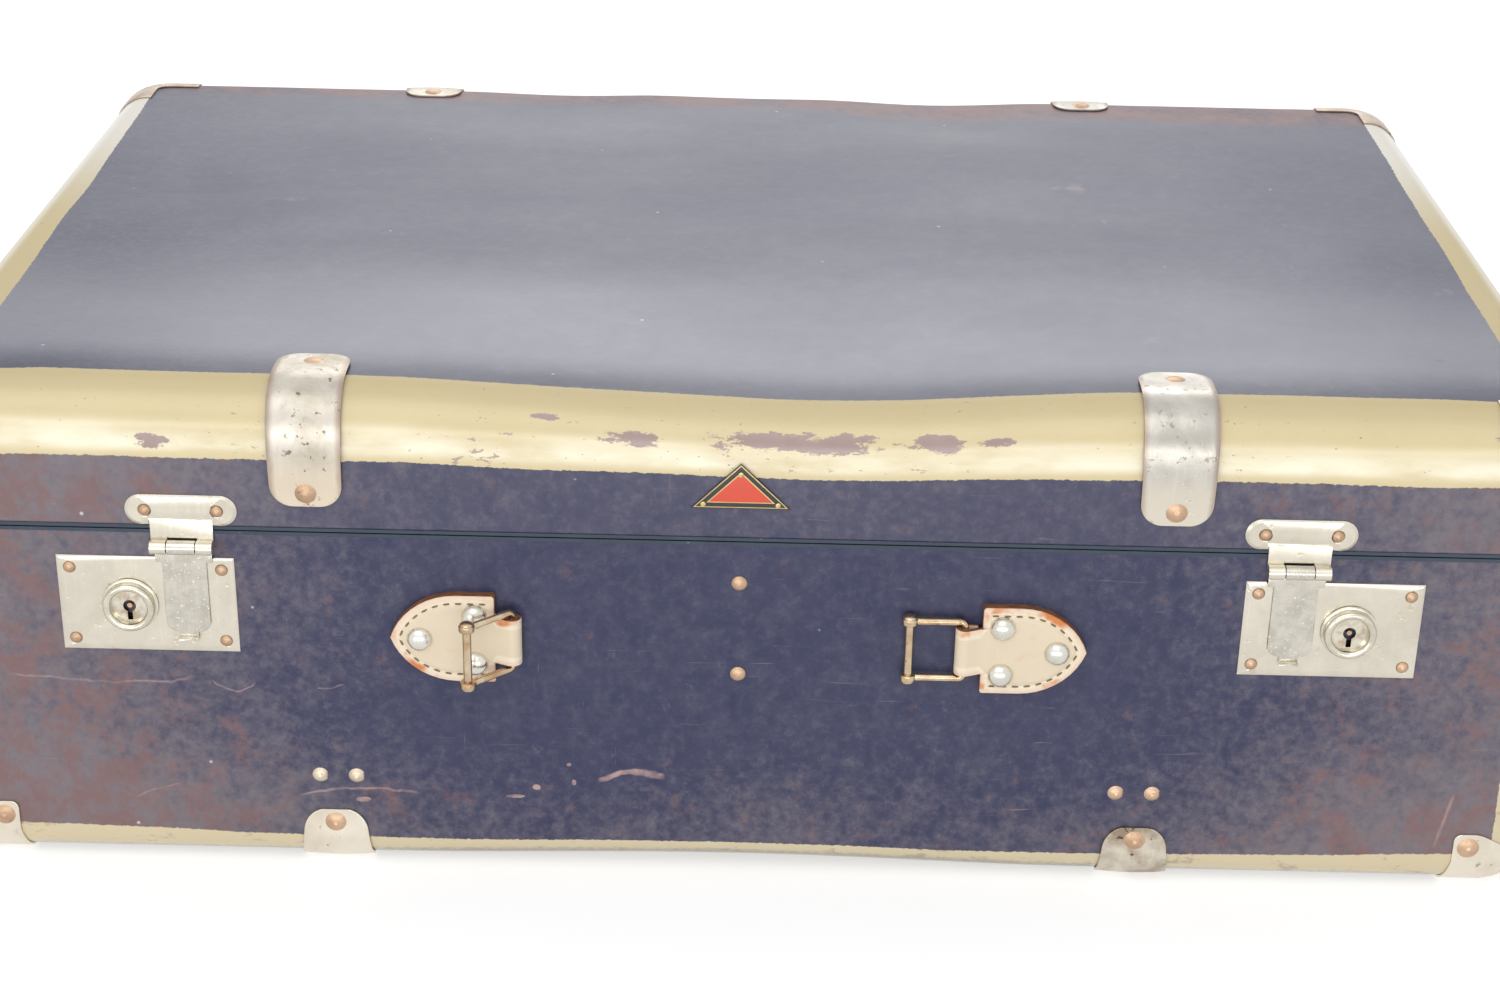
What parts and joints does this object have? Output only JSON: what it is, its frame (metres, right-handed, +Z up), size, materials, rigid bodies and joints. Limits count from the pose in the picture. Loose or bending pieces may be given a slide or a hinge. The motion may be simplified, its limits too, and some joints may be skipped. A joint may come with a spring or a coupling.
{
  "type": "suitcase",
  "caption": "Vintage fibre suitcase lying flat: navy lid and base with cream edges, nickel locks with hasps, edge clamps, corner caps and leather handle tabs with buckles",
  "frame": {"origin": "Middle of the underside of the box round the shut case, on the floor under its feet.", "axes": "+X runs along the front to the right lock, +Y from the front with the locks to the rear with the hinges, +Z up through the lid."},
  "size_m": [0.6546, 0.448, 0.2095],
  "materials": {
    "fibre": "painted satin, worn",
    "lining": "matt printed paper",
    "tongue": "matt",
    "binding": "gloss enamel",
    "board": "sawn",
    "nickel": "satin nickel plate, worn",
    "dome": "polished nickel plate",
    "copper": "tarnished copper plate",
    "hide": "undyed, sealed",
    "buckle": "nickel plate worn to brass",
    "webbing": "woven cotton",
    "spring": "blued",
    "badge": "enamel"
  },
  "bodies": {
    "base": {"base_shell": "fibre", "base_lining": "lining", "base_frame": "tongue", "base_rim": "binding", "handle_board": "board", "lock_plate_left": "nickel", "lock_plate_right": "nickel", "lock_case_left": "nickel", "lock_case_right": "nickel", "lock_spring_left": "spring", "lock_spring_right": "spring", "handle_tab_left": "hide", "handle_tab_right": "hide", "packing_strap_left": "webbing", "packing_strap_right": "webbing", "foot_clamp_front_left": "nickel", "foot_clamp_front_right": "nickel", "foot_clamp_rear_left": "nickel", "foot_clamp_rear_right": "nickel", "lock_rivets": "copper", "tab_rivets": "dome", "board_rivets": "copper", "strap_buckles": "nickel", "strap_rivets": "copper", "base_corner_caps": "nickel", "base_rivets": "copper", "hinge_base_leaves": "nickel", "hinge_pins": "nickel"},
    "lid": {"lid_shell": "fibre", "lid_lining": "lining", "lid_rim": "binding", "hasp_plate_left": "nickel", "hasp_plate_right": "nickel", "hasp_pin_left": "nickel", "hasp_pin_right": "nickel", "lid_clamp_front_left": "nickel", "lid_clamp_front_right": "nickel", "lid_clamp_rear_left": "nickel", "lid_clamp_rear_right": "nickel", "hasp_rivets": "copper", "lid_corner_caps": "nickel", "lid_rivets": "copper", "hinge_lid_leaves": "nickel", "badge_plate": "badge", "badge_nails": "copper"},
    "hasp_left": {"hasp_leaf_left": "nickel"},
    "lock_slide_left": {"lock_knob_left": "nickel", "lock_latch_left": "nickel"},
    "buckle_left": {"buckle_frame_left": "buckle", "buckle_bar_left": "buckle"},
    "hasp_right": {"hasp_leaf_right": "nickel"},
    "lock_slide_right": {"lock_knob_right": "nickel", "lock_latch_right": "nickel"},
    "buckle_right": {"buckle_frame_right": "buckle", "buckle_bar_right": "buckle"}
  },
  "joints": [
    {"name": "lid_hinge", "type": "hinge", "parent": "base", "child": "lid", "pos_m": [0, 0.22102, 0.1498], "axis": [-1, 0, 0], "range_deg": [0, 105]},
    {"name": "hasp_left_hinge", "type": "hinge", "parent": "lid", "child": "hasp_left", "pos_m": [-0.2146, -0.20628, 0.1436], "axis": [-1, 0, 0], "range_deg": [0, 160]},
    {"name": "lock_left_slide", "type": "slide", "parent": "base", "child": "lock_slide_left", "axis": [-1, 0, 0], "range_m": [0, 0.005], "stiffness_N_per_m": 200, "springref_m": -0.004, "deforming": ["lock_spring_left"]},
    {"name": "buckle_left_hinge", "type": "hinge", "parent": "base", "child": "buckle_left", "pos_m": [-0.088, -0.20644, 0.1068], "axis": [0, 0, 1], "range_deg": [-12, 138]},
    {"name": "hasp_right_hinge", "type": "hinge", "parent": "lid", "child": "hasp_right", "pos_m": [0.2146, -0.20628, 0.1436], "axis": [-1, 0, 0], "range_deg": [0, 160]},
    {"name": "lock_right_slide", "type": "slide", "parent": "base", "child": "lock_slide_right", "axis": [1, 0, 0], "range_m": [0, 0.005], "stiffness_N_per_m": 200, "springref_m": -0.004, "deforming": ["lock_spring_right"]},
    {"name": "buckle_right_hinge", "type": "hinge", "parent": "base", "child": "buckle_right", "pos_m": [0.088, -0.20644, 0.1068], "axis": [0, 0, 1], "range_deg": [0, 150]}
  ]
}
